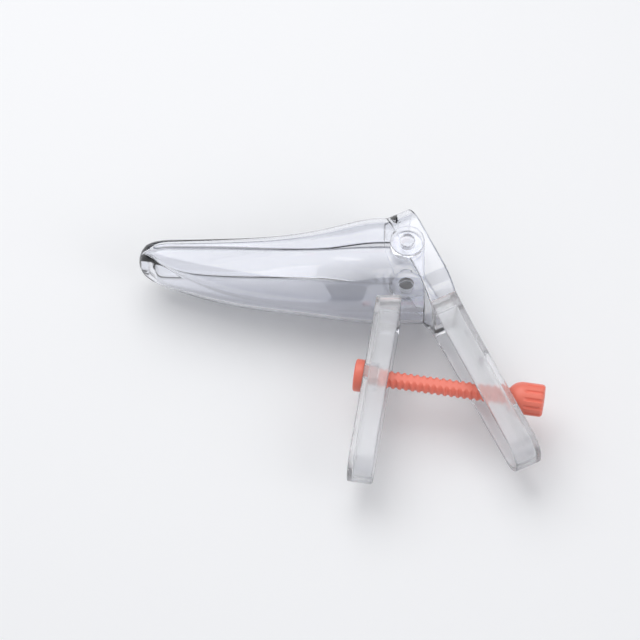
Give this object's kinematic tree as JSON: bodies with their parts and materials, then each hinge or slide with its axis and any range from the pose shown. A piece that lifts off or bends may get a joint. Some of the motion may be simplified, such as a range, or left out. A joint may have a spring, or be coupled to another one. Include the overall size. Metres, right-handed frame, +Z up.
{
  "type": "bivalve speculum",
  "caption": "Clear moulded bivalve speculum on its side: two hinged blades with splayed handles, a keyed screw rod across the handles and a fluted thumb nut that opens the blades.",
  "frame": {"origin": "on the hinge axis, at the flat lower end face of the lower trunnion, which faces the table when the object lies on its side", "axes": "+Z up along the hinge axis, +X from the blades' tip towards the user, -Y along the handles"},
  "size_m": [0.187, 0.1362, 0.047],
  "materials": {
    "clear_plastic": "clear injection-moulded polystyrene, polished",
    "coral_plastic": "injection-moulded, satin"
  },
  "bodies": {
    "lower_valve": {"lower_valve": "clear_plastic", "screw_rod": "coral_plastic"},
    "upper_valve": {"upper_valve": "clear_plastic"},
    "thumb_nut": {"thumb_nut": "coral_plastic"}
  },
  "joints": [
    {"name": "blade_hinge", "type": "hinge", "parent": "lower_valve", "child": "upper_valve", "pos_m": [0, 0, 0.0235], "axis": [0, 0, -1], "range_deg": [0, 26]},
    {"name": "nut_slide", "type": "slide", "parent": "lower_valve", "child": "thumb_nut", "axis": [-0.9877, 0.1564, 0], "range_m": [0, 0.03642]}
  ],
  "couplings": [
    {"joint": "nut_slide", "follows": "blade_hinge", "m_per_rad": 0.08021}
  ]
}
